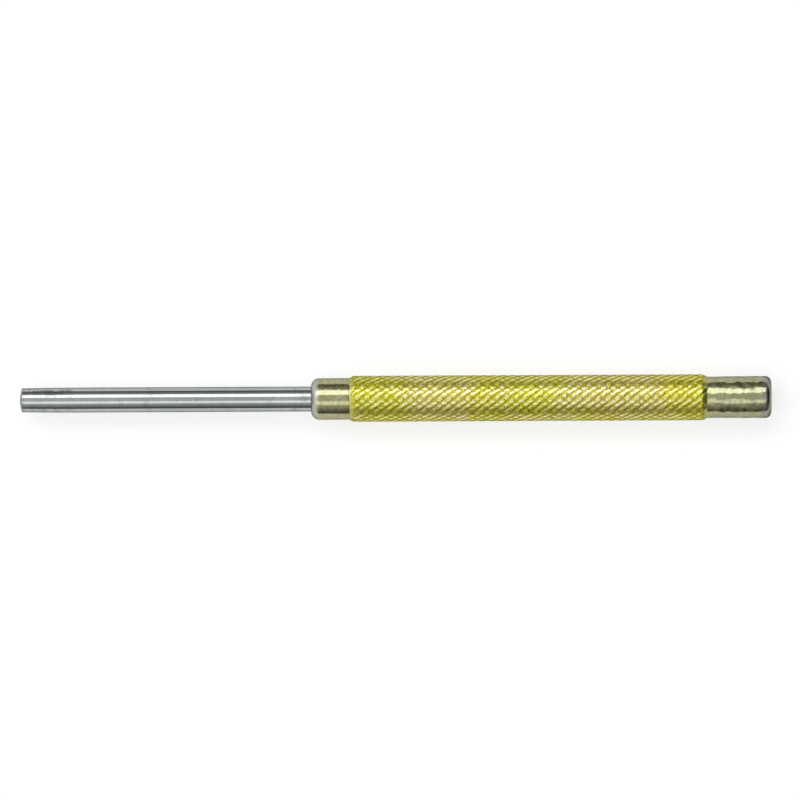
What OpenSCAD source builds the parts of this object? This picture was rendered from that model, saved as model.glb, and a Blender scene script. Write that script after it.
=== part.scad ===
// Parallel pin punch: a ground steel pin seated in the blind bore of a turned, knurled steel handle.
// It lies along X with its axis on X. The origin is the centre of the working tip, the head is at +X.

/* [Pin] */
// Diameter of the pin's parallel shank
pin_d = 5; // [3:0.1:6]
// Length of the pin that stands out of the handle
pin_out = 58.1; // [35:0.1:75]
// How much thinner the working tip is than the shank, so that it never binds in a hole
tip_relief = 0.2; // [0:0.05:0.4]
// Length over which the pin thins to its tip
relief_len = 12; // [4:0.5:25]
// Diameter of the small flat in the middle of the tip
tip_flat_d = 1.5; // [0.6:0.1:1.6]
// Height of the crown from the flat to the tip's edge
crown_h = 0.28; // [0.1:0.02:0.6]
// Width of the broken edge round the tip
tip_edge = 0.2; // [0.05:0.05:0.4]
// Height of the shoulder that bears on the handle's nose
shoulder_h = 0.2; // [0.1:0.05:0.5]
// Width of the broken edge round the shoulder
shoulder_edge = 0.06; // [0.02:0.02:0.08]
// Length of the seat pressed into the handle
seat_len = 30; // [12:1:45]
// Width of the chamfer on the seat's end
seat_chamfer = 0.4; // [0.1:0.05:0.8]

/* [Handle] */
// Diameter of the smooth nose
nose_d = 8.35; // [7.2:0.05:9]
// Length of the smooth nose
nose_len = 7.6; // [4:0.1:15]
// Width of the chamfer round the mouth of the bore
mouth_chamfer = 0.05; // [0.02:0.01:0.08]
// Clearance between the seat and the bore, on the radius
bore_clearance = 0.005; // [0:0.005:0.02]
// Room left behind the seat's end
bore_room = 0.3; // [0.1:0.1:2]
// Included angle of the drill point at the bottom of the bore
drill_point_angle = 118; // [90:1:150]

/* [Knurled grip] */
// Diameter over the crests of the knurl
grip_d = 9.25; // [8.8:0.05:12]
// Length of the knurl with its run-out at both ends
grip_len = 71.5; // [45:0.5:90]
// Depth of the grooves
knurl_depth = 0.46; // [0.2:0.02:0.7]
// Length of one diamond along the grip
diamond_len = 1.93; // [1.5:0.01:3.5]
// Width of one diamond round the grip
diamond_w = 1.61; // [1.2:0.01:3]
// Height of the small step where the knurl's foot leaves the smooth bar
foot_step = 0.03; // [0.01:0.01:0.1]

/* [Head] */
// Diameter of the head next to the grip
head_d = 8.28; // [7.2:0.02:9]
// Diameter of the head near the struck end
head_end_d = 8.46; // [8:0.02:9.4]
// Length of the head
head_len = 12.8; // [11.5:0.1:25]
// Length of the stretch over which the head widens
flare_len = 8.5; // [3:0.5:9]
// Radius of the rim round the struck face
rim_r = 1.25; // [0.4:0.05:2]

/* [Hidden] */
circle_facets = 96;

// Places along the axis, from the tip
nose_x = pin_out;
grip_x = nose_x + nose_len;
head_x = grip_x + grip_len;

// Pin
pin_r = pin_d / 2;
tip_r = (pin_d - tip_relief) / 2;
flat_r = tip_flat_d / 2;
crown_edge_r = tip_r - tip_edge;
crown_axis_y = (pow(crown_edge_r, 2) - pow(flat_r, 2) + pow(crown_h, 2)) / (2 * crown_h);
crown_r = norm([flat_r, crown_axis_y]);

seat_r = pin_r - shoulder_h;
pin_len = pin_out + seat_len;

// Bore for the seat
bore_r = seat_r + bore_clearance;
bore_depth = seat_len + bore_room;
drill_point_len = bore_r / tan(drill_point_angle / 2);
cut_overrun = mouth_chamfer;

// Handle: the nose's round starts at the ring that the pin's shoulder bears on
nose_r = nose_d / 2;
nose_round = nose_r - pin_r;
head_r = head_d / 2;
head_end_r = head_end_d / 2;

// Knurl: an even number of rings of points, half a diamond apart
crest_r = grip_d / 2;
root_r = crest_r - knurl_depth;
diamonds_along = round(grip_len / diamond_len);
diamonds_round = round(PI * grip_d / diamond_w);
ring_count = 2 * diamonds_along;
ring_step = grip_len / ring_count;
side_count = 2 * diamonds_round;
side_angle = 360 / side_count;
nose_foot_r = min(root_r, nose_r - foot_step);
head_foot_r = min(root_r, head_r - foot_step);

// Radius of the knurl at ring i and side j. Crests and groove crossings take turns both ways,
// and both end rings lie on the smooth bar, so that the last diamonds slope down to it.
function knurl_r(i, j) =
    i <= 0 ? nose_foot_r
    : i >= ring_count ? head_foot_r
    : (i + j) % 2 == 0 ? crest_r
    : root_r;

// Place of ring i along the axis. One more ring at each end is buried in the smooth bar.
function ring_x(i) =
    i < 0 ? grip_x - ring_step
    : i > ring_count ? head_x + ring_step
    : grip_x + i * ring_step;

function knurl_point(i, j) =
    [ring_x(i), knurl_r(i, j) * cos(j * side_angle), knurl_r(i, j) * sin(j * side_angle)];

function point_index(i, j) = (i + 1) * side_count + j % side_count;

// Two triangles for each cell. They part along the groove, which joins the cell's two crossings.
function cell_faces(i, j) =
    let (
        near = point_index(i, j),
        near_next = point_index(i, j + 1),
        far = point_index(i + 1, j),
        far_next = point_index(i + 1, j + 1)
    )
    (i + j) % 2 == 0
        ? [[near, far, near_next], [near_next, far, far_next]]
        : [[near, far_next, near_next], [near, far, far_next]];

knurl_points = [
    for (i = [-1 : ring_count + 1])
        for (j = [0 : side_count - 1])
            knurl_point(i, j)
];
knurl_skin = [
    for (i = [-1 : ring_count])
        for (j = [0 : side_count - 1])
            for (face = cell_faces(i, j))
                face
];
near_cap = [for (j = [0 : side_count - 1]) point_index(-1, j)];
far_cap = [for (j = [side_count - 1 : -1 : 0]) point_index(ring_count + 1, j)];

// Turns a profile, drawn with its radius along X and its length along Y, about the punch's axis
module turned() {
    rotate([0, 90, 0])
        rotate_extrude($fn = circle_facets)
            children();
}

// A quarter disc that rounds a corner of a profile, with its centre at the origin. It faces out
// along X and down along Y where way is -1, up where way is 1.
module corner_round(r, way) {
    intersection() {
        circle(r = r, $fn = circle_facets);
        translate([0, way < 0 ? -r : 0])
            square(r);
    }
}

// The crowned end of the pin: a slice of a large circle from the flat to the tip's edge
module crown_profile() {
    intersection() {
        square([crown_edge_r, crown_h + tip_edge]);
        translate([0, crown_axis_y])
            circle(r = crown_r, $fn = circle_facets);
    }
}

module shank_profile() {
    polygon([
        [0, crown_h],
        [crown_edge_r, crown_h],
        [tip_r, crown_h + tip_edge],
        [pin_r, relief_len],
        [pin_r, pin_out - shoulder_edge],
        [pin_r - shoulder_edge, pin_out],
        [seat_r, pin_out],
        [seat_r, pin_len - seat_chamfer],
        [seat_r - seat_chamfer, pin_len],
        [0, pin_len]
    ]);
}

module punch_pin() {
    color("silver")
        turned() {
            crown_profile();
            shank_profile();
        }
}

module nose_profile() {
    square([pin_r, nose_len]);
    translate([0, nose_round])
        square([nose_r, nose_len - nose_round]);
    translate([pin_r, nose_round])
        corner_round(nose_round, -1);
}

module nose() {
    translate([nose_x, 0, 0])
        turned()
            nose_profile();
}

module knurl() {
    polyhedron(points = knurl_points, faces = concat(knurl_skin, [near_cap, far_cap]));
}

module head_profile() {
    polygon([
        [0, 0],
        [head_r, 0],
        [head_end_r, flare_len],
        [head_end_r, head_len - rim_r],
        [head_end_r - rim_r, head_len - rim_r],
        [head_end_r - rim_r, head_len],
        [0, head_len]
    ]);
    translate([head_end_r - rim_r, head_len - rim_r])
        corner_round(rim_r, 1);
}

module head() {
    translate([head_x, 0, 0])
        turned()
            head_profile();
}

// The drilled bore with its chamfered mouth and its drill point
module bore_profile() {
    polygon([
        [0, -cut_overrun],
        [bore_r + mouth_chamfer + cut_overrun, -cut_overrun],
        [bore_r, mouth_chamfer],
        [bore_r, bore_depth],
        [0, bore_depth + drill_point_len]
    ]);
}

module bore() {
    translate([nose_x, 0, 0])
        turned()
            bore_profile();
}

module knurled_handle() {
    color("darkkhaki")
        difference() {
            union() {
                nose();
                knurl();
                head();
            }
            bore();
        }
}

punch_pin();
knurled_handle();
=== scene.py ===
import math

import bpy
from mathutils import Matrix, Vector, noise


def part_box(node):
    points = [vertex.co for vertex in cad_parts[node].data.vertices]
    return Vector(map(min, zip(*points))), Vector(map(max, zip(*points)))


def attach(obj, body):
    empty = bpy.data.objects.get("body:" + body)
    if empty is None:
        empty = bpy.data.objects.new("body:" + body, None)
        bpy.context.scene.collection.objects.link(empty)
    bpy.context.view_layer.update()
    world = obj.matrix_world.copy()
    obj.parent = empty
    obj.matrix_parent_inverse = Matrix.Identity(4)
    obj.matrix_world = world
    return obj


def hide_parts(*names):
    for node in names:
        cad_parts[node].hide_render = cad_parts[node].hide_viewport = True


# A pin punch: a ground steel pin seated in a knurled, yellow zinc plated steel handle.
# It lies along X on a white table, the tip at the origin, and is seen from straight above.
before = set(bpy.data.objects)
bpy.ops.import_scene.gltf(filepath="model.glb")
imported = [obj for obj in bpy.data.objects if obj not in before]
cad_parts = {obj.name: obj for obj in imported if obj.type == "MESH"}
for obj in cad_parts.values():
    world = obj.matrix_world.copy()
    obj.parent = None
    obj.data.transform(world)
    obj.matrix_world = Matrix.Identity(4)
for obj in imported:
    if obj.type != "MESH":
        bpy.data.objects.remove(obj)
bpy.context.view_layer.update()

MM = 0.001
BODY = "root"

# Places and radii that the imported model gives
pin_low, pin_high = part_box("punch_pin")
handle_low, handle_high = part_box("knurled_handle")
TIP_X = pin_low.x
SEAT_END_X = pin_high.x
SHANK_R = pin_high.z
NOSE_X = handle_low.x
STRUCK_X = handle_high.x
CREST_R = handle_high.z
TABLE_Z = handle_low.z

# Pin, as the solid has it
TIP_FLAT_R = 0.75 * MM
CROWN_H = 0.28 * MM
TIP_EDGE = 0.2 * MM
TIP_R = 2.4 * MM
RELIEF_LEN = 12 * MM
SHOULDER_EDGE = 0.06 * MM
SEAT_R = 2.3 * MM
SEAT_CHAMFER = 0.4 * MM

# Handle, as the solid has it
NOSE_R = 4.175 * MM
NOSE_LEN = 7.6 * MM
NOSE_ROUND = NOSE_R - SHANK_R
BORE_R = 2.305 * MM
BORE_DEPTH = 30.3 * MM
MOUTH_CHAMFER = 0.05 * MM
DRILL_POINT_ANGLE = 118
DRILL_POINT_LEN = BORE_R / math.tan(math.radians(DRILL_POINT_ANGLE / 2))
GRIP_X = NOSE_X + NOSE_LEN
GRIP_LEN = 71.5 * MM
HEAD_X = GRIP_X + GRIP_LEN
HEAD_R = 4.14 * MM
HEAD_END_R = 4.23 * MM
FLARE_LEN = 8.5 * MM
RIM_R = 1.25 * MM

# How finely the turned forms are made: the pin's columns, and the steps along each rounded form
PIN_COLUMNS = 128
CROWN_STEPS = 12
TIP_EDGE_STEPS = 6
NOSE_ROUND_STEPS = 16
RIM_STEPS = 14
# A corner of a profile that turns by more degrees than this stays sharp
SHARP_ANGLE = 25
# Radius of the ring next to the drill point's end, as a share of the bore's
DRILL_END_SHARE = 0.02

# Knurl: deep grooves that climb towards the head on the near side, and shallow ones across them.
# Starts are the grooves side by side round the grip, and the pitch is from one to the next along it.
DEEP_STARTS = 19
DEEP_PITCH = 1.87 * MM
DEEP_DEPTH = 0.08 * MM
SHALLOW_STARTS = 18
SHALLOW_PITCH = 1.98 * MM
SHALLOW_DEPTH = 0.038 * MM
# Half of a groove's width, as a share of the way to the next groove
GROOVE_HALF_WIDTH = 0.5
# How much of a shallow groove is lost at the bottom of a deep one
CROSSING_LOSS = 0.7
# How unevenly the grooves of each kind are pressed, and how often that changes
DEEP_UNEVENNESS = 0.6
DEEP_WAVES_PER_MM = 0.9
SHALLOW_UNEVENNESS = 1.2
SHALLOW_WAVES_PER_MM = 0.7
SHALLOW_WAVE_SHIFT = Vector((31, 7, 0))
# Fine grain all over the knurl
GRAIN_DEPTH = 0.03 * MM
GRAIN_WAVES_PER_MM = 2.3

# Ends of the knurl: a shoulder that runs down and dips under the smooth bar. The grooves grow deeper
# on it by the run-out, but never take more than a share of its height.
SHOULDER_LEN = 1.0 * MM
SHOULDER_ROUNDNESS = 0.5
FOOT_DIP = 0.04 * MM
RUN_OUT = 2.5
GREATEST_CUT_SHARE = 0.7

# The knurl's mesh: its columns climb with the deep grooves, and its rings lie so far apart that the
# diagonals of its cells run along the shallow ones
COLUMNS_PER_RIDGE = 7
TWIST_PER_M = 2 * math.pi / (DEEP_STARTS * DEEP_PITCH)
SHALLOW_PER_COLUMN = SHALLOW_STARTS / (DEEP_STARTS * COLUMNS_PER_RIDGE)
RING_STEP = SHALLOW_PER_COLUMN / (1 / SHALLOW_PITCH + SHALLOW_STARTS * TWIST_PER_M / (2 * math.pi))

# Smooth bar: how far apart its rings lie, and how deep the nose and the beaten head are dented
BAR_STEP = 0.2 * MM
NOSE_DENTS = 0.01 * MM
HEAD_DENTS = 0.05 * MM
# The mean dent as a share of that depth, and the layers of dents: how many there are to the
# millimetre, and how much of them each layer adds
MEAN_DENT = 0.5
DENTS_PER_MM = 0.8
DENT_LAYERS = ((1, 1.0), (2, 0.5), (4, 0.2))

# Bake map: spare room, the gap beside each strip, and the radius and place of the two end discs
MAP_ROOM = 1.15
MAP_GAP = 0.02
MAP_DISC_R = 0.05
MAP_DISC_PLACE = 0.06

# How much the metals darken at grazing angles, and how strong the pale sheen on the plating is
EDGE_TINT = (0.3, 0.3, 0.3, 1)
SHEEN_IOR = 4.0

# Colours of the ground steel and its marks
STEEL = (0.41, 0.435, 0.42, 1)
PALE_STEEL = (0.46, 0.485, 0.47, 1)
STEEL_SHADE = (0.36, 0.38, 0.37, 1)
STAIN = (0.07, 0.07, 0.065, 1)
SMUDGE = (0.12, 0.13, 0.12, 1)
BROWN_RING = (0.19, 0.165, 0.13, 1)

# Colours of the zinc on the smooth bar and its marks
OLIVE = (0.275, 0.265, 0.040, 1)
GREEN_OLIVE = (0.245, 0.275, 0.043, 1)
ROSY_FILM = (0.33, 0.28, 0.13, 1)
DARK_STREAK = (0.16, 0.15, 0.012, 1)
PALE_SCUFF = (0.44, 0.42, 0.27, 1)
BRUISE = (0.19, 0.185, 0.03, 1)
WORN_NOSE = (0.50, 0.51, 0.475, 1)
WORN_RIM = (0.35, 0.355, 0.335, 1)
# Painted shade: a dark ring for the rim, standing in for the room's dark reflection there
RIM_SHADE_PAINT = (0.14, 0.14, 0.10, 1)

# Colours of the zinc on the knurl
STRAW = (0.71, 0.64, 0.030, 1)
LIME = (0.64, 0.68, 0.030, 1)
CREAM = (0.74, 0.66, 0.20, 1)
# Painted shade: the brown that darkens the knurl's grooves
GROOVE_SHADE_PAINT = (0.30, 0.23, 0.005, 1)
DARK_GRAIN = (0.36, 0.315, 0.012, 1)
# Painted shade: the colour that darkens the knurl's two feet where they meet the smooth bar
FOOT_SHADE_PAINT = (0.27, 0.24, 0.06, 1)

# Table: half its side, its colour under the lamps, and the glow that the eye and the metal see
TABLE_REACH = 12.0
TABLE_GREY = (0.40, 0.40, 0.40, 1)
TABLE_GLOW = 0.68

# Room: how bright it is at each height, from 0 at the horizon to 1 overhead
ROOM_LEVELS = ((0.0, 0.05), (0.17, 0.085), (0.45, 0.27), (0.67, 0.50), (0.85, 0.64), (1.0, 0.75))
# How far the dark round the horizon reaches up beyond the head, and what each paler part adds
DARK_BEYOND_HEAD = 0.8
GLOW_BEYOND_TIP = 0.8
GLOW_FAR_SIDE = 0.05
GLOW_IN_CORNERS = 0.2

# How far the soft boxes' middle lies beyond the punch's middle, on the tip's side
LAMP_OFFSET = 0.45


def arc(centre_x, centre_r, radius, start, end, steps):
    """Points (x, r) of a profile along an arc. Angles are in degrees, 0 along +X and 90 outwards."""
    points = []
    for k in range(steps + 1):
        angle = math.radians(start + (end - start) * k / steps)
        points.append((centre_x + radius * math.cos(angle), centre_r + radius * math.sin(angle)))
    return points


def even_columns(count):
    """The angles of a piece's columns."""
    return [2 * math.pi * j / count for j in range(count)]


def even_steps(start, end):
    """Places along the smooth bar from start to end, both included, about a bar's step apart."""
    count = round((end - start) / BAR_STEP)
    return [start + (end - start) * k / count for k in range(count + 1)]


def plain_ring(x, radius, columns, twist=0.0):
    """A round ring of (x, radius, angle)."""
    return [(x, radius, angle + twist) for angle in columns]


def dented_ring(x, radius, columns, depth, twist=0.0):
    """A ring of the smooth bar, beaten in here and there."""
    ring = []
    for _, r, angle in plain_ring(x, radius, columns, twist):
        where = Vector((x, r * math.cos(angle), r * math.sin(angle))) / MM
        share = MEAN_DENT
        for times_finer, weight in DENT_LAYERS:
            share += weight * noise.noise(where * times_finer * DENTS_PER_MM)
        ring.append((x, r - depth * max(0.0, share), angle))
    return ring


def skin(name, rings, sharp_rings=()):
    """A turned skin from rings of (x, radius, angle), closed at both ends with a point on the axis."""
    count = len(rings[0])
    points = []
    for ring in rings:
        points += [(x, r * math.cos(angle), r * math.sin(angle)) for x, r, angle in ring]
    first_pole = len(points)
    last_pole = first_pole + 1
    points += [(rings[0][0][0], 0, 0), (rings[-1][0][0], 0, 0)]

    faces = []
    for i in range(len(rings) - 1):
        for j in range(count):
            k = (j + 1) % count
            faces.append((i * count + j, i * count + k, (i + 1) * count + k, (i + 1) * count + j))
    last_ring = (len(rings) - 1) * count
    for j in range(count):
        k = (j + 1) % count
        faces.append((first_pole, k, j))
        faces.append((last_pole, last_ring + j, last_ring + k))

    mesh = bpy.data.meshes.new(name)
    mesh.from_pydata(points, [], faces)
    mesh.update()
    lay_out(mesh, rings)
    mesh.shade_smooth()
    mark_sharp(mesh, sharp_rings, count)
    piece = bpy.data.objects.new(name, mesh)
    bpy.context.scene.collection.objects.link(piece)
    return piece


def lay_out(mesh, rings):
    """Writes the bake map: strips of the skin side by side, so that each texel is about as long as it
    is wide, then the two end discs."""
    count = len(rings[0])
    path = [0.0]
    for near, far in zip(rings, rings[1:]):
        path.append(path[-1] + math.hypot(far[0][0] - near[0][0], far[0][1] - near[0][1]))
    around = 2 * math.pi * max(ring[0][1] for ring in rings)
    strips = max(1, round(math.sqrt(path[-1] / around)))
    strip_len = path[-1] / strips
    side = max(strip_len, strips * around) * MAP_ROOM

    layer = mesh.uv_layers.new(name="OFBake")
    at = 0
    for i in range(len(rings) - 1):
        middle = (path[i] + path[i + 1]) / 2
        strip = min(strips - 1, int(middle / strip_len))
        for j in range(count):
            for ring, column in ((i, j), (i, j + 1), (i + 1, j + 1), (i + 1, j)):
                along = (path[ring] - strip * strip_len) / side
                across = (strip + column / count * (1 - 2 * MAP_GAP) + MAP_GAP) * around / side
                layer.data[at].uv = (along + MAP_GAP, across)
                at += 1
    for j in range(count):
        turn = [2 * math.pi * (j + step) / count for step in (0, 1)]
        for end in (0, 1):
            centre = Vector((1 - MAP_DISC_PLACE, MAP_DISC_PLACE * (1 + 2 * end)))
            first, second = (centre + MAP_DISC_R * Vector((math.cos(t), math.sin(t))) for t in turn)
            for uv in (centre, second, first) if end == 0 else (centre, first, second):
                layer.data[at].uv = uv
                at += 1


def mark_sharp(mesh, sharp_rings, count):
    """Marks the edges of the named rings as corners of the profile."""
    rings = set(sharp_rings)
    sharp = mesh.attributes.new("sharp_edge", "BOOLEAN", "EDGE")
    for edge in mesh.edges:
        a, b = edge.vertices
        sharp.data[edge.index].value = a // count == b // count and a // count in rings


def profile_corners(profile):
    """Which points of a profile are sharp corners."""
    found = []
    for n in range(1, len(profile) - 1):
        here = Vector(profile[n])
        ways = [here - Vector(profile[n - 1]), Vector(profile[n + 1]) - here]
        if min(way.length for way in ways) > 0 and math.degrees(ways[0].angle(ways[1])) > SHARP_ANGLE:
            found.append(n)
    return found


def tip_profile():
    """The pin's crowned tip: a small flat, a slice of a large circle and a rounded edge."""
    crown_edge_r = TIP_R - TIP_EDGE
    crown_axis = (crown_edge_r ** 2 - TIP_FLAT_R ** 2 + CROWN_H ** 2) / (2 * CROWN_H)
    crown_r = math.hypot(TIP_FLAT_R, crown_axis)
    start = math.degrees(math.asin(TIP_FLAT_R / crown_r))
    end = math.degrees(math.asin(crown_edge_r / crown_r))
    profile = [(TIP_X, TIP_FLAT_R / 2)]
    profile += arc(TIP_X + crown_axis, 0, crown_r, 180 - start, 180 - end, CROWN_STEPS)
    profile += arc(TIP_X + CROWN_H + TIP_EDGE, crown_edge_r, TIP_EDGE, 180, 90, TIP_EDGE_STEPS)[1:]
    return profile


def build_pin():
    """The pin from the crowned tip to the chamfered end of its seat."""
    profile = tip_profile()
    relief_shares = (0.15, 0.3, 0.45, 0.6, 0.75, 0.9, 1.0)
    for share in relief_shares:
        radius = TIP_R + (SHANK_R - TIP_R) * math.sin(share * math.pi / 2)
        profile.append((TIP_X + RELIEF_LEN * share, radius))
    profile += [
        (NOSE_X - SHOULDER_EDGE, SHANK_R),
        (NOSE_X, SHANK_R - SHOULDER_EDGE),
        (NOSE_X, SEAT_R),
        (SEAT_END_X - SEAT_CHAMFER, SEAT_R),
        (SEAT_END_X, SEAT_R - SEAT_CHAMFER),
    ]
    columns = even_columns(PIN_COLUMNS)
    rings = [plain_ring(x, r, columns) for x, r in profile]
    return skin("ground_pin", rings, profile_corners(profile))


def groove(phase):
    """How deep a groove is at a phase, from 0 on the crest to 1 at the bottom, which lies at phase 0.
    The crest is rounded and the bottom is sharp."""
    away = abs(phase - round(phase)) / GROOVE_HALF_WIDTH
    return (1 - min(1.0, away)) ** 2


def shoulder(along, foot_r):
    """Radius of the rounded shoulder at the knurl's end, which runs down to the smooth bar."""
    share = min(1.0, max(0.0, along / SHOULDER_LEN))
    rise = math.sqrt(1 - (1 - share) ** 2)
    shape = (1 - SHOULDER_ROUNDNESS) * share + SHOULDER_ROUNDNESS * rise
    return foot_r - FOOT_DIP + (CREST_R - foot_r + FOOT_DIP) * shape


def knurl_cut(along, x, angle):
    """How deep the grooves and the grain go at x and an angle, away from the knurl's ends."""
    turns = angle / (2 * math.pi)
    deep = groove(along / DEEP_PITCH + DEEP_STARTS * turns)
    shallow = groove(along / SHALLOW_PITCH - SHALLOW_STARTS * turns)
    where = Vector((x, CREST_R * math.cos(angle), CREST_R * math.sin(angle))) / MM
    pressed = 1 + DEEP_UNEVENNESS * noise.noise(where * DEEP_WAVES_PER_MM)
    crossed = 1 + SHALLOW_UNEVENNESS * noise.noise(where * SHALLOW_WAVES_PER_MM + SHALLOW_WAVE_SHIFT)
    grain = 0.5 - 0.5 * noise.noise(where * GRAIN_WAVES_PER_MM)
    cut = DEEP_DEPTH * deep * pressed + SHALLOW_DEPTH * shallow * (1 - CROSSING_LOSS * deep) * crossed
    return cut + GRAIN_DEPTH * max(0.0, grain)


def knurl_radius(x, angle):
    """Radius of the knurl at x along the punch. Its grooves run out over the shoulders."""
    along = x - GRIP_X
    cut = knurl_cut(along, x, angle)
    near = shoulder(along, NOSE_R)
    far = shoulder(GRIP_LEN - along, HEAD_R)
    crest = min(near, far)
    foot = NOSE_R if near < far else HEAD_R
    height = crest - foot + FOOT_DIP
    flank = 1 - height / (CREST_R - foot + FOOT_DIP)
    return crest - min(cut * (1 + RUN_OUT * flank), GREATEST_CUT_SHARE * height)


def knurl_rings(columns):
    """The rings of the knurl. Its columns climb with the deep grooves."""
    count = round(GRIP_LEN / RING_STEP)
    rings = []
    for i in range(count + 1):
        x = GRIP_X + GRIP_LEN * i / count
        twist = -(x - GRIP_X) * TWIST_PER_M
        rings.append([(x, knurl_radius(x, angle + twist), angle + twist) for angle in columns])
    return rings


def bore_and_nose_profile():
    """The drilled bore that holds the pin's seat, its chamfered mouth and the round of the nose."""
    profile = [
        (NOSE_X + BORE_DEPTH + DRILL_POINT_LEN * (1 - DRILL_END_SHARE), BORE_R * DRILL_END_SHARE),
        (NOSE_X + BORE_DEPTH, BORE_R),
        (NOSE_X + MOUTH_CHAMFER, BORE_R),
        (NOSE_X, BORE_R + MOUTH_CHAMFER),
    ]
    profile += arc(NOSE_X + NOSE_ROUND, SHANK_R, NOSE_ROUND, 180, 90, NOSE_ROUND_STEPS)
    return profile


def head_profile():
    """The head from the knurl's foot: it widens, then rounds over its rim into the struck face."""
    profile = []
    for x in even_steps(HEAD_X + 2 * FOOT_DIP, STRUCK_X - RIM_R)[:-1]:
        profile.append((x, HEAD_R + (HEAD_END_R - HEAD_R) * min(1.0, (x - HEAD_X) / FLARE_LEN)))
    profile += arc(STRUCK_X - RIM_R, HEAD_END_R - RIM_R, RIM_R, 90, 0, RIM_STEPS)
    face_shares = (0.7, 0.4, 0.15)
    profile += [(STRUCK_X, (HEAD_END_R - RIM_R) * share) for share in face_shares]
    return profile


def build_handle():
    """The bore, nose, knurl and head as one skin. The knurl's faces take the second material."""
    columns = even_columns(DEEP_STARTS * COLUMNS_PER_RIDGE)
    nose = bore_and_nose_profile()
    rings = [plain_ring(x, r, columns) for x, r in nose]
    for x in even_steps(NOSE_X + NOSE_ROUND, GRIP_X - 2 * FOOT_DIP)[1:]:
        rings.append(dented_ring(x, NOSE_R, columns, NOSE_DENTS))

    first_knurled = len(rings)
    rings += knurl_rings(columns)
    last_knurled = len(rings) - 1

    whole_twist = -GRIP_LEN * TWIST_PER_M
    for x, r in head_profile():
        depth = HEAD_DENTS * min(1.0, (STRUCK_X - x) / RIM_R)
        rings.append(dented_ring(x, r, columns, depth, whole_twist))

    piece = skin("plated_handle", rings, profile_corners(nose))
    for face in piece.data.polygons[first_knurled * len(columns):last_knurled * len(columns)]:
        face.material_index = 1
    return piece


def new_group(name, inputs, outputs):
    """A shader node group of plain numbers, with what it is given and what it puts out. inputs is
    {name: default} and outputs is a list of names."""
    group = bpy.data.node_groups.new(name, "ShaderNodeTree")
    for label, value in inputs.items():
        socket = group.interface.new_socket(label, in_out="INPUT", socket_type="NodeSocketFloat")
        socket.default_value = value
    for label in outputs:
        group.interface.new_socket(label, in_out="OUTPUT", socket_type="NodeSocketFloat")
    return group, group.nodes.new("NodeGroupInput").outputs, group.nodes.new("NodeGroupOutput").inputs


def feed(tree, socket, value):
    """Sets an input to a value, or links it from an output socket."""
    if isinstance(value, bpy.types.NodeSocket):
        tree.links.new(value, socket)
    else:
        socket.default_value = value


def add(tree, kind, inputs=None, **settings):
    """Adds a node, with its settings and what feeds its inputs."""
    made = tree.nodes.new(kind)
    for key, value in settings.items():
        setattr(made, key, value)
    for key, value in (inputs or {}).items():
        feed(tree, made.inputs[key], value)
    return made


def maths(tree, operation, *values):
    """A number worked out from others."""
    made = tree.nodes.new("ShaderNodeMath")
    made.operation = operation
    for n, value in enumerate(values):
        feed(tree, made.inputs[n], value)
    return made.outputs[0]


def times(tree, first, second):
    return maths(tree, "MULTIPLY", first, second)


def plus(tree, first, second):
    return maths(tree, "ADD", first, second)


def minus(tree, first, second):
    return maths(tree, "SUBTRACT", first, second)


def remap(tree, value, low, high, to_low=0.0, to_high=1.0, smooth=True):
    """Stretches a value from the range low to high to another, softly at both ends where smooth."""
    made = add(
        tree,
        "ShaderNodeMapRange",
        {"Value": value, "From Min": low, "From Max": high, "To Min": to_low, "To Max": to_high},
        interpolation_type="SMOOTHSTEP" if smooth else "LINEAR",
    )
    return made.outputs[0]


def blend(tree, share, first, second):
    """A colour between two others. The node's inputs 6 and 7 and its output 2 are its colours."""
    made = tree.nodes.new("ShaderNodeMix")
    made.data_type = "RGBA"
    feed(tree, made.inputs["Factor"], share)
    feed(tree, made.inputs[6], first)
    feed(tree, made.inputs[7], second)
    return made.outputs[2]


def place(tree):
    """Where a point of the surface lies, in metres from the tip."""
    return tree.nodes.new("ShaderNodeTexCoord").outputs["Object"]


def facing_and_radius(tree):
    """How far round towards +Y the surface faces, as a share of its radius, and that radius in mm."""
    parts = add(tree, "ShaderNodeSeparateXYZ", {0: place(tree)}).outputs
    flat = add(tree, "ShaderNodeCombineXYZ", {"Y": parts[1], "Z": parts[2]})
    radius = add(tree, "ShaderNodeVectorMath", {0: flat.outputs[0]}, operation="LENGTH").outputs["Value"]
    return maths(tree, "DIVIDE", parts[1], radius), times(tree, radius, 1 / MM)


def cloud_noise(tree, per_metre, detail):
    made = add(tree, "ShaderNodeTexNoise", {"Vector": place(tree), "Scale": per_metre, "Detail": detail})
    return made.outputs[0]


def bump(tree, height_mm):
    made = add(tree, "ShaderNodeBump", {"Height": height_mm, "Strength": 1.0, "Distance": MM})
    return made.outputs[0]


def make_lines_group():
    """Fine lines that run round the axis, left by the lathe or the grinding wheel. Waver says how
    often they change on their way round."""
    tree, given, out = new_group("lines_round_axis", {"Per metre": 5000.0, "Waver": 60.0}, ["Lines"])
    waver = given["Waver"]
    scale = add(tree, "ShaderNodeCombineXYZ", {"X": given["Per metre"], "Y": waver, "Z": waver})
    stretched = add(
        tree, "ShaderNodeVectorMath", {0: place(tree), 1: scale.outputs[0]}, operation="MULTIPLY"
    )
    pattern = add(
        tree,
        "ShaderNodeTexNoise",
        {"Vector": stretched.outputs[0], "Scale": 1.0, "Detail": 3.0, "Roughness": 0.6},
    )
    feed(tree, out["Lines"], pattern.outputs[0])
    return tree


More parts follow.
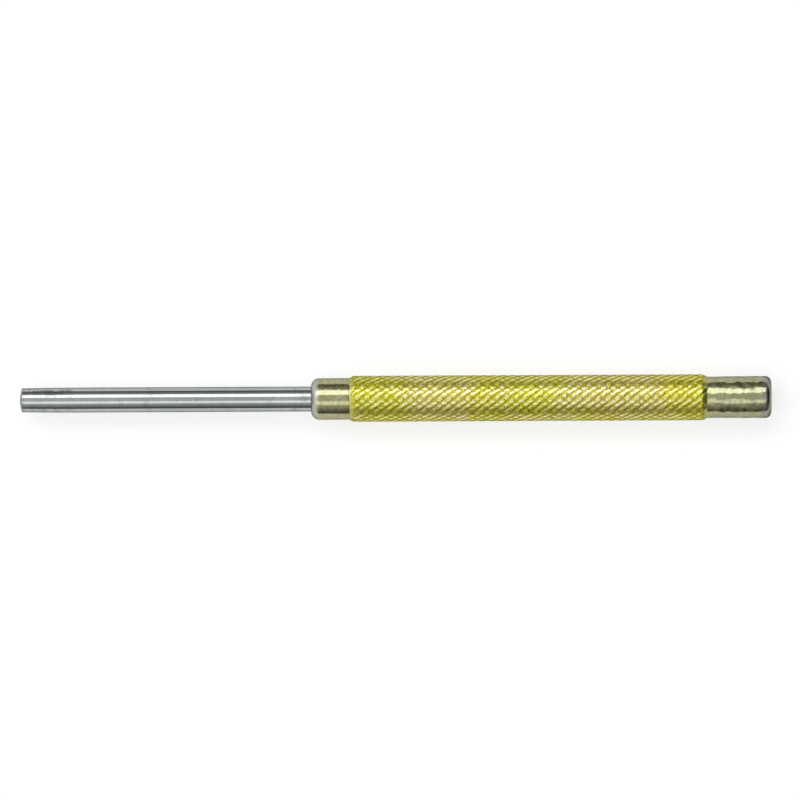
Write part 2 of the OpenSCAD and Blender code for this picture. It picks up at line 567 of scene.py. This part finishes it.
def make_blotch_group():
    """Soft-edged patches. Amount is the share of the surface that they cover, and Cloud is the slow
    pattern that they are cut from."""
    tree, given, out = new_group(
        "blotches", {"Per metre": 400.0, "Amount": 0.3, "Softness": 0.1}, ["Mask", "Cloud"]
    )
    pattern = add(
        tree,
        "ShaderNodeTexNoise",
        {
            "Vector": place(tree),
            "Scale": given["Per metre"],
            "Detail": 4.0,
            "Roughness": 0.62,
            "Distortion": 0.4,
        },
    )
    edge = remap(tree, given["Amount"], 0.0, 1.0, 0.72, 0.28, smooth=False)
    low = minus(tree, edge, given["Softness"])
    high = plus(tree, edge, given["Softness"])
    feed(tree, out["Mask"], remap(tree, pattern.outputs[0], low, high))
    feed(tree, out["Cloud"], pattern.outputs[0])
    return tree


def make_nick_group():
    """Small scattered nicks and scuffs with ragged edges. Amount is the share of the places that have
    one."""
    ragged_per_metre = 1500.0
    ragged_by = 1.2 * MM
    tree, given, out = new_group("nicks", {"Per metre": 900.0, "Amount": 0.3, "Size": 0.3}, ["Mask"])
    where = place(tree)
    pattern = add(tree, "ShaderNodeTexNoise", {"Vector": where, "Scale": ragged_per_metre, "Detail": 3.0})
    jitter = add(
        tree, "ShaderNodeVectorMath", {0: pattern.outputs[1], 1: (0.5, 0.5, 0.5)}, operation="SUBTRACT"
    )
    moved = add(tree, "ShaderNodeVectorMath", {0: jitter.outputs[0], "Scale": ragged_by}, operation="SCALE")
    ragged = add(tree, "ShaderNodeVectorMath", {0: where, 1: moved.outputs[0]}, operation="ADD")
    cells = add(tree, "ShaderNodeTexVoronoi", {"Vector": ragged.outputs[0], "Scale": given["Per metre"]})
    size = given["Size"]
    close = remap(tree, cells.outputs["Distance"], size, times(tree, size, 0.5))
    pick = add(tree, "ShaderNodeSeparateColor", {0: cells.outputs["Color"]}).outputs[0]
    picked = maths(tree, "LESS_THAN", pick, given["Amount"])
    feed(tree, out["Mask"], times(tree, close, picked))
    return tree


def make_band_group():
    """A band along the axis between two places in millimetres, with faded and ragged edges."""
    tree, given, out = new_group(
        "ragged_band", {"From mm": 0.0, "To mm": 1.0, "Fade mm": 0.3, "Ragged mm": 0.4}, ["Mask"]
    )
    where = place(tree)
    x = add(tree, "ShaderNodeSeparateXYZ", {0: where}).outputs[0]
    pattern = add(tree, "ShaderNodeTexNoise", {"Vector": where, "Scale": 900.0, "Detail": 4.0})
    shift = times(tree, minus(tree, pattern.outputs[0], 0.5), given["Ragged mm"])
    x_mm = plus(tree, times(tree, x, 1 / MM), times(tree, shift, 2.0))
    first, last, fade = given["From mm"], given["To mm"], given["Fade mm"]
    start = remap(tree, x_mm, first, plus(tree, first, fade))
    end = remap(tree, x_mm, minus(tree, last, fade), last)
    feed(tree, out["Mask"], minus(tree, start, end))
    return tree


def use(tree, group, **values):
    """Places a node group with its own values and returns its outputs."""
    made = tree.nodes.new("ShaderNodeGroup")
    made.node_tree = group
    for label, value in values.items():
        feed(tree, made.inputs[label.replace("_", " ")], value)
    return made.outputs


def new_metal(name):
    """A metal's material, its node tree and its shader."""
    material = bpy.data.materials.new(name)
    material.use_nodes = True
    tree = material.node_tree
    shader = tree.nodes["Principled BSDF"]
    shader.inputs["Metallic"].default_value = 1.0
    shader.inputs["Specular Tint"].default_value = EDGE_TINT
    return material, tree, shader


def ground_steel(lines, blotches, band):
    """Bare steel, ground round the axis and polished, with stains and rings at the tip."""
    material, tree, shader = new_metal("ground_steel")
    fine = use(tree, lines, Per_metre=9000.0, Waver=120.0)["Lines"]
    coarse = use(tree, lines, Per_metre=1400.0, Waver=25.0)["Lines"]
    cloud = use(tree, blotches, Per_metre=160.0, Amount=0.5, Softness=0.3)["Cloud"]
    tone = blend(tree, remap(tree, cloud, 0.35, 0.65), STEEL, PALE_STEEL)
    tone = blend(tree, remap(tree, coarse, 0.35, 0.65, 0.0, 0.3), tone, STEEL_SHADE)

    # The stains lie along the tip on its +Y side
    side = facing_and_radius(tree)[0]
    upper = minus(tree, remap(tree, side, 0.35, 0.52), remap(tree, side, 0.72, 0.86))
    near_tip = use(tree, band, From_mm=0.5, To_mm=10.5, Fade_mm=1.2, Ragged_mm=2.0)["Mask"]
    marks = use(tree, blotches, Per_metre=620.0, Amount=0.58, Softness=0.05)["Mask"]
    stain = times(tree, times(tree, near_tip, upper), marks)
    tone = blend(tree, times(tree, stain, 0.75), tone, STAIN)
    smudge = use(tree, blotches, Per_metre=330.0, Amount=0.22, Softness=0.08)["Mask"]
    tone = blend(tree, times(tree, smudge, 0.4), tone, SMUDGE)
    tip_end = use(tree, band, From_mm=-1.0, To_mm=1.3, Fade_mm=0.4, Ragged_mm=0.2)["Mask"]
    rings = remap(tree, use(tree, lines, Per_metre=2600.0, Waver=80.0)["Lines"], 0.48, 0.60)
    brown = times(tree, times(tree, tip_end, rings), 0.35)
    feed(tree, shader.inputs["Base Color"], blend(tree, brown, tone, BROWN_RING))

    dull = maths(tree, "MAXIMUM", stain, times(tree, smudge, 0.5))
    rough = plus(tree, remap(tree, fine, 0.3, 0.7, 0.08, 0.14), times(tree, dull, 0.25))
    feed(tree, shader.inputs["Roughness"], rough)
    height = times(tree, plus(tree, fine, coarse), 0.0006)
    height = minus(tree, height, times(tree, stain, 0.004))
    feed(tree, shader.inputs["Normal"], bump(tree, height))
    return material


def zinc_clouds(tree, blotches):
    """Two slow clouds that shift the plating's hue along the bar."""
    return (
        use(tree, blotches, Per_metre=120.0, Amount=0.5, Softness=0.2)["Cloud"],
        use(tree, blotches, Per_metre=105.0, Amount=0.5, Softness=0.2)["Cloud"],
    )


def bar_plating(lines, blotches, nicks, band):
    """Yellow zinc on the smooth bar: olive, with lathe streaks, scuffs and bruises, worn to grey at the
    nose's round and at the struck rim, where a painted dark ring stands in for shade."""
    material, tree, shader = new_metal("bar_plating")
    nose_mm, head_mm, struck_mm = NOSE_X / MM, HEAD_X / MM, STRUCK_X / MM
    past_end = 9.0
    hue, other_hue = zinc_clouds(tree, blotches)
    tone = blend(tree, remap(tree, hue, 0.42, 0.6), OLIVE, GREEN_OLIVE)
    tone = blend(tree, remap(tree, other_hue, 0.52, 0.66, 0.0, 0.5), tone, ROSY_FILM)
    streaks = use(tree, lines, Per_metre=2600.0, Waver=260.0)["Lines"]
    tone = blend(tree, remap(tree, streaks, 0.42, 0.62, 0.0, 0.45), tone, DARK_STREAK)

    small = use(tree, nicks, Per_metre=1900.0, Amount=0.45, Size=0.42)["Mask"]
    large = use(tree, nicks, Per_metre=900.0, Amount=0.4, Size=0.36)["Mask"]
    scuffed = maths(tree, "MAXIMUM", small, large)
    tone = blend(tree, times(tree, scuffed, 0.4), tone, PALE_SCUFF)
    head = use(tree, band, From_mm=head_mm + 0.6, To_mm=struck_mm, Fade_mm=1.5, Ragged_mm=0.8)["Mask"]
    bruises = use(tree, blotches, Per_metre=800.0, Amount=0.6, Softness=0.05)["Mask"]
    tone = blend(tree, times(tree, times(tree, bruises, head), 0.65), tone, BRUISE)

    nose_wear = use(
        tree, band, From_mm=nose_mm - past_end, To_mm=nose_mm + 1.8, Fade_mm=1.0, Ragged_mm=0.7
    )["Mask"]
    rim_wear = use(
        tree, band, From_mm=struck_mm - 2.6, To_mm=struck_mm + past_end, Fade_mm=1.6, Ragged_mm=1.2
    )["Mask"]
    # Painted shade: a dark ring near the struck rim, in place of the room's dark reflection
    painted_rim_shade = use(
        tree, band, From_mm=struck_mm - 0.95, To_mm=struck_mm - 0.12, Fade_mm=0.25, Ragged_mm=0.15
    )["Mask"]
    tone = blend(tree, times(tree, nose_wear, 0.85), tone, WORN_NOSE)
    tone = blend(tree, times(tree, rim_wear, 0.85), tone, WORN_RIM)
    # The rim's painted shade
    tone = blend(tree, times(tree, painted_rim_shade, 0.5), tone, RIM_SHADE_PAINT)
    feed(tree, shader.inputs["Base Color"], tone)

    # The pale sheen of the plating is mottled, and gone where the plating is
    unworn = minus(tree, 1.0, maths(tree, "MAXIMUM", nose_wear, rim_wear))
    mottle = remap(tree, cloud_noise(tree, 1300.0, 3.0), 0.42, 0.58, 0.42, 0.58)
    feed(tree, shader.inputs["Coat Weight"], times(tree, unworn, mottle))
    shader.inputs["Coat Roughness"].default_value = 0.1
    shader.inputs["Coat IOR"].default_value = SHEEN_IOR
    dull = plus(tree, times(tree, nose_wear, 0.36), times(tree, rim_wear, 0.2))
    rough = plus(tree, remap(tree, streaks, 0.3, 0.7, 0.15, 0.25), times(tree, scuffed, 0.1))
    feed(tree, shader.inputs["Roughness"], maths(tree, "MAXIMUM", rough, dull))

    turned = use(tree, lines, Per_metre=7000.0, Waver=120.0)["Lines"]
    height = times(tree, plus(tree, turned, streaks), 0.003)
    height = minus(tree, height, times(tree, scuffed, 0.006))
    beaten = times(tree, cloud_noise(tree, 750.0, 1.5), head)
    height = plus(tree, height, times(tree, beaten, 0.09))
    feed(tree, shader.inputs["Normal"], bump(tree, height))
    return material


def knurl_plating(blotches, band):
    """Yellow zinc on the knurl: straw to lime and grainy, with painted shade that darkens its grooves
    and its two feet, and a pale sheen on the crests that fades in the grooves."""
    material, tree, shader = new_metal("knurl_plating")
    start_mm, end_mm, crest_mm = GRIP_X / MM, HEAD_X / MM, CREST_R / MM
    hue, other_hue = zinc_clouds(tree, blotches)
    tone = blend(tree, remap(tree, hue, 0.42, 0.6), STRAW, LIME)
    tone = blend(tree, remap(tree, other_hue, 0.46, 0.60, 0.0, 0.7), tone, CREAM)

    # The grooves are told by their radius, but not at the knurl's two feet, which slope
    full = use(tree, band, From_mm=start_mm + 0.5, To_mm=end_mm - 0.5, Fade_mm=0.4, Ragged_mm=0.0)["Mask"]
    feet = minus(tree, 1.0, full)
    radius = facing_and_radius(tree)[1]
    groove_shade = times(tree, remap(tree, radius, crest_mm - 0.03, crest_mm - 0.065), full)
    # Painted shade: the grooves are darkened to brown
    tone = blend(tree, times(tree, groove_shade, 0.65), tone, GROOVE_SHADE_PAINT)
    grain = cloud_noise(tree, 2600.0, 3.0)
    tone = blend(tree, remap(tree, grain, 0.5, 0.36, 0.0, 0.5), tone, DARK_GRAIN)
    # Painted shade: the two feet are darkened where they meet the smooth bar
    tone = blend(tree, times(tree, feet, 0.65), tone, FOOT_SHADE_PAINT)
    feed(tree, shader.inputs["Base Color"], tone)
    shader.inputs["Roughness"].default_value = 0.32

    sheen = times(tree, remap(tree, radius, crest_mm - 0.06, crest_mm - 0.024, 0.03, 1.0), full)
    sheen = plus(tree, sheen, times(tree, feet, 0.5))
    sheen = times(tree, sheen, remap(tree, grain, 0.4, 0.6, 0.6, 1.0))
    sheen = times(tree, sheen, remap(tree, other_hue, 0.42, 0.58, 0.75, 1.0))
    feed(tree, shader.inputs["Coat Weight"], sheen)
    shader.inputs["Coat Roughness"].default_value = 0.15
    shader.inputs["Coat IOR"].default_value = SHEEN_IOR
    feed(tree, shader.inputs["Normal"], bump(tree, times(tree, grain, 0.14)))
    return material


def table_finish():
    """Matt white. To the eye and in the metal's reflections it also glows, so that it reads as the
    white of the photograph while it keeps the punch's shadow."""
    material = bpy.data.materials.new("white_table")
    material.use_nodes = True
    tree = material.node_tree
    shader = tree.nodes["Principled BSDF"]
    shader.inputs["Base Color"].default_value = TABLE_GREY
    shader.inputs["Roughness"].default_value = 0.9
    shader.inputs["Specular IOR Level"].default_value = 0.0
    path = tree.nodes.new("ShaderNodeLightPath")
    seen = maths(tree, "MAXIMUM", path.outputs["Is Camera Ray"], path.outputs["Is Glossy Ray"])
    seen = maths(tree, "MAXIMUM", seen, path.outputs["Is Transmission Ray"])
    glow = add(
        tree, "ShaderNodeEmission", {"Color": (1, 1, 1, 1), "Strength": times(tree, seen, TABLE_GLOW)}
    )
    both = add(tree, "ShaderNodeAddShader", {0: shader.outputs[0], 1: glow.outputs[0]})
    feed(tree, tree.nodes["Material Output"].inputs["Surface"], both.outputs[0])
    return material


def build_table():
    """The white table that the punch lies on. It isn't part of the punch."""
    corners = [
        (-TABLE_REACH, -TABLE_REACH, TABLE_Z),
        (TABLE_REACH, -TABLE_REACH, TABLE_Z),
        (TABLE_REACH, TABLE_REACH, TABLE_Z),
        (-TABLE_REACH, TABLE_REACH, TABLE_Z),
    ]
    mesh = bpy.data.meshes.new("table")
    mesh.from_pydata(corners, [], [(0, 1, 2, 3)])
    mesh.materials.append(table_finish())
    table = bpy.data.objects.new("table", mesh)
    bpy.context.scene.collection.objects.link(table)


def build_room():
    """A dim room: dark round the horizon, where the metal's dark bands come from, and darkest beyond
    the head. It is paler overhead, beyond the tip, on the +Y side and in its four corners."""
    world = bpy.data.worlds.new("room")
    bpy.context.scene.world = world
    world.use_nodes = True
    tree = world.node_tree
    way = tree.nodes.new("ShaderNodeTexCoord").outputs["Generated"]
    x, y, z = add(tree, "ShaderNodeSeparateXYZ", {0: way}).outputs
    beyond_head = maths(tree, "MAXIMUM", x, 0.0)
    beyond_tip = maths(tree, "MAXIMUM", times(tree, x, -1.0), 0.0)
    far_side = maths(tree, "MAXIMUM", y, 0.0)
    corner = remap(tree, maths(tree, "ABSOLUTE", times(tree, x, y)), 0.27, 0.47)

    height = minus(tree, z, times(tree, beyond_head, DARK_BEYOND_HEAD))
    ramp = add(tree, "ShaderNodeValToRGB", {"Fac": height})
    stops = ramp.color_ramp.elements
    while len(stops) < len(ROOM_LEVELS):
        stops.new(0.5)
    for stop, (at, grey) in zip(stops, ROOM_LEVELS):
        stop.position = at
        stop.color = (grey, grey, grey, 1)
    level = plus(tree, ramp.outputs[0], times(tree, far_side, GLOW_FAR_SIDE))
    level = plus(tree, level, times(tree, beyond_tip, GLOW_BEYOND_TIP))
    level = plus(tree, level, times(tree, corner, GLOW_IN_CORNERS))
    background = tree.nodes["Background"]
    feed(tree, background.inputs["Color"], level)
    background.inputs["Strength"].default_value = 1.0


def add_lamp(name, tilt, far, length, width, level):
    """A soft box above the table, tilted about the punch's axis and set off towards the tip's side.
    level is how bright its face is."""
    light = bpy.data.lights.new(name, "AREA")
    light.shape = "RECTANGLE"
    light.size = length
    light.size_y = width
    light.energy = level * math.pi * length * width
    lamp = bpy.data.objects.new(name, light)
    angle = math.radians(tilt)
    middle = Vector(((TIP_X + STRUCK_X) / 2 - LAMP_OFFSET, 0, 0))
    lamp.location = middle + far * Vector((0, math.sin(angle), math.cos(angle)))
    lamp.rotation_euler = (-angle, 0, 0)
    bpy.context.scene.collection.objects.link(lamp)


def add_camera():
    """Looks straight down from far off with a long lens. The punch spans 751 of the photo's 800 pixels,
    and rises slightly towards the head."""
    photo_side = 800
    tip_px, struck_px = 20.2, 771.25
    axis_px = 398.6
    tilt = math.radians(0.26)
    height = 3.0
    metres_per_px = (STRUCK_X - TIP_X) / (struck_px - tip_px)
    data = bpy.data.cameras.new("camera")
    data.sensor_width = 36.0
    data.lens = data.sensor_width * height / (photo_side * metres_per_px)
    data.clip_end = 20.0
    camera = bpy.data.objects.new("camera", data)
    along = TIP_X + (photo_side / 2 - tip_px) * metres_per_px
    aside = -(photo_side / 2 - axis_px) * metres_per_px
    camera.location = (along, aside, height)
    camera.rotation_euler = (0, 0, -tilt)
    bpy.context.scene.collection.objects.link(camera)
    bpy.context.scene.camera = camera


add_camera()
build_table()
build_room()
add_lamp("main_soft_box", tilt=36.5, far=0.9, length=1.6, width=0.42, level=2.05)
add_lamp("second_soft_box", tilt=-23.5, far=0.9, length=1.6, width=0.32, level=0.9)

lines = make_lines_group()
blotches = make_blotch_group()
nicks = make_nick_group()
band = make_band_group()

pin = build_pin()
pin.data.materials.append(ground_steel(lines, blotches, band))
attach(pin, BODY)
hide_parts("punch_pin")

handle = build_handle()
handle.data.materials.append(bar_plating(lines, blotches, nicks, band))
handle.data.materials.append(knurl_plating(blotches, band))
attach(handle, BODY)
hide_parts("knurled_handle")

bpy.context.scene.view_settings.view_transform = "Standard"
